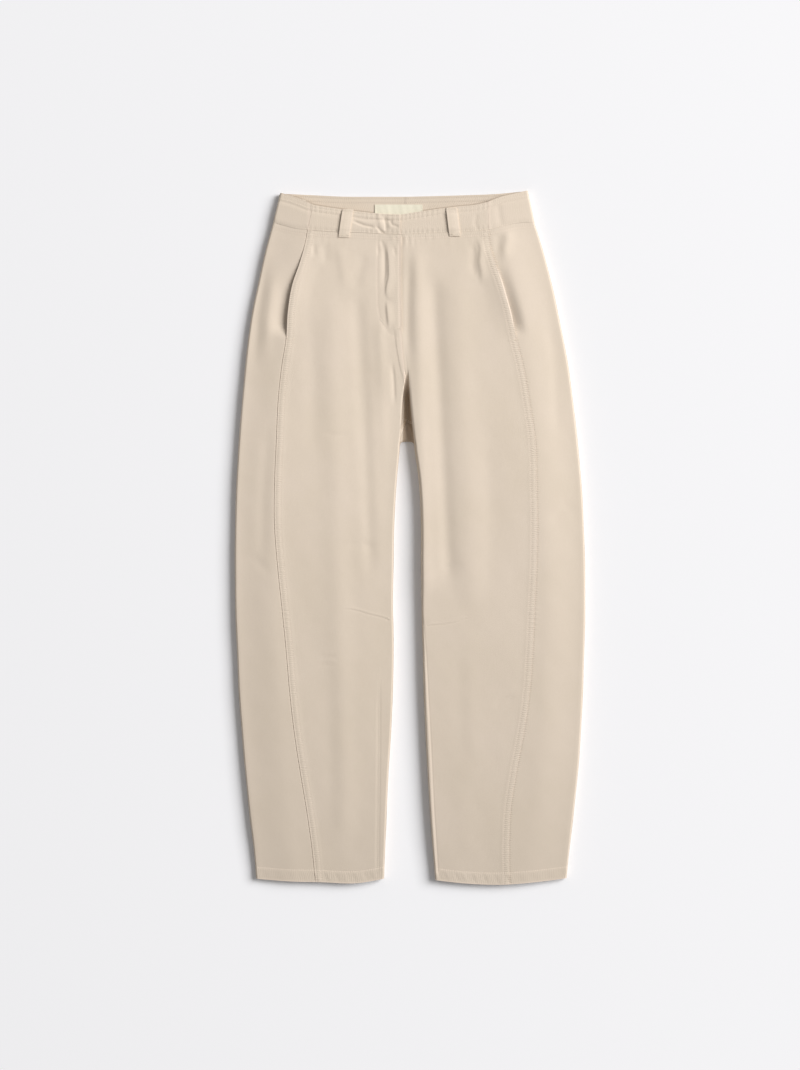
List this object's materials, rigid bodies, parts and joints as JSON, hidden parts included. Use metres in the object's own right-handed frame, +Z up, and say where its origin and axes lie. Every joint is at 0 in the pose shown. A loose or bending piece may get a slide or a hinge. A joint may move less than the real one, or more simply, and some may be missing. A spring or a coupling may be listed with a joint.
{
  "type": "barrel leg trousers",
  "caption": "Barrel leg trousers in beige cotton twill, laid flat on their back, with forward seams, pocket mouths in them, a waistband and belt loops.",
  "frame": {"origin": "centre of the bottom of the bounding box, on the surface that the trousers lie on", "axes": "+Y towards the waist, +Z up out of the front, +X towards the wearer's left leg"},
  "size_m": [0.5126, 1.0138, 0.019],
  "materials": {
    "twill": "matt",
    "label": "satin"
  },
  "bodies": {
    "root": {"front_right": "twill", "front_left": "twill", "back_right": "twill", "back_left": "twill", "waistband_front_right": "twill", "waistband_front_left": "twill", "waistband_back": "twill", "belt_loop_front_right": "twill", "belt_loop_front_left": "twill", "belt_loop_back_right": "twill", "belt_loop_back_left": "twill", "belt_loop_back_centre": "twill", "pocket_facing_right": "twill", "pocket_facing_left": "twill", "label": "label"}
  },
  "joints": []
}
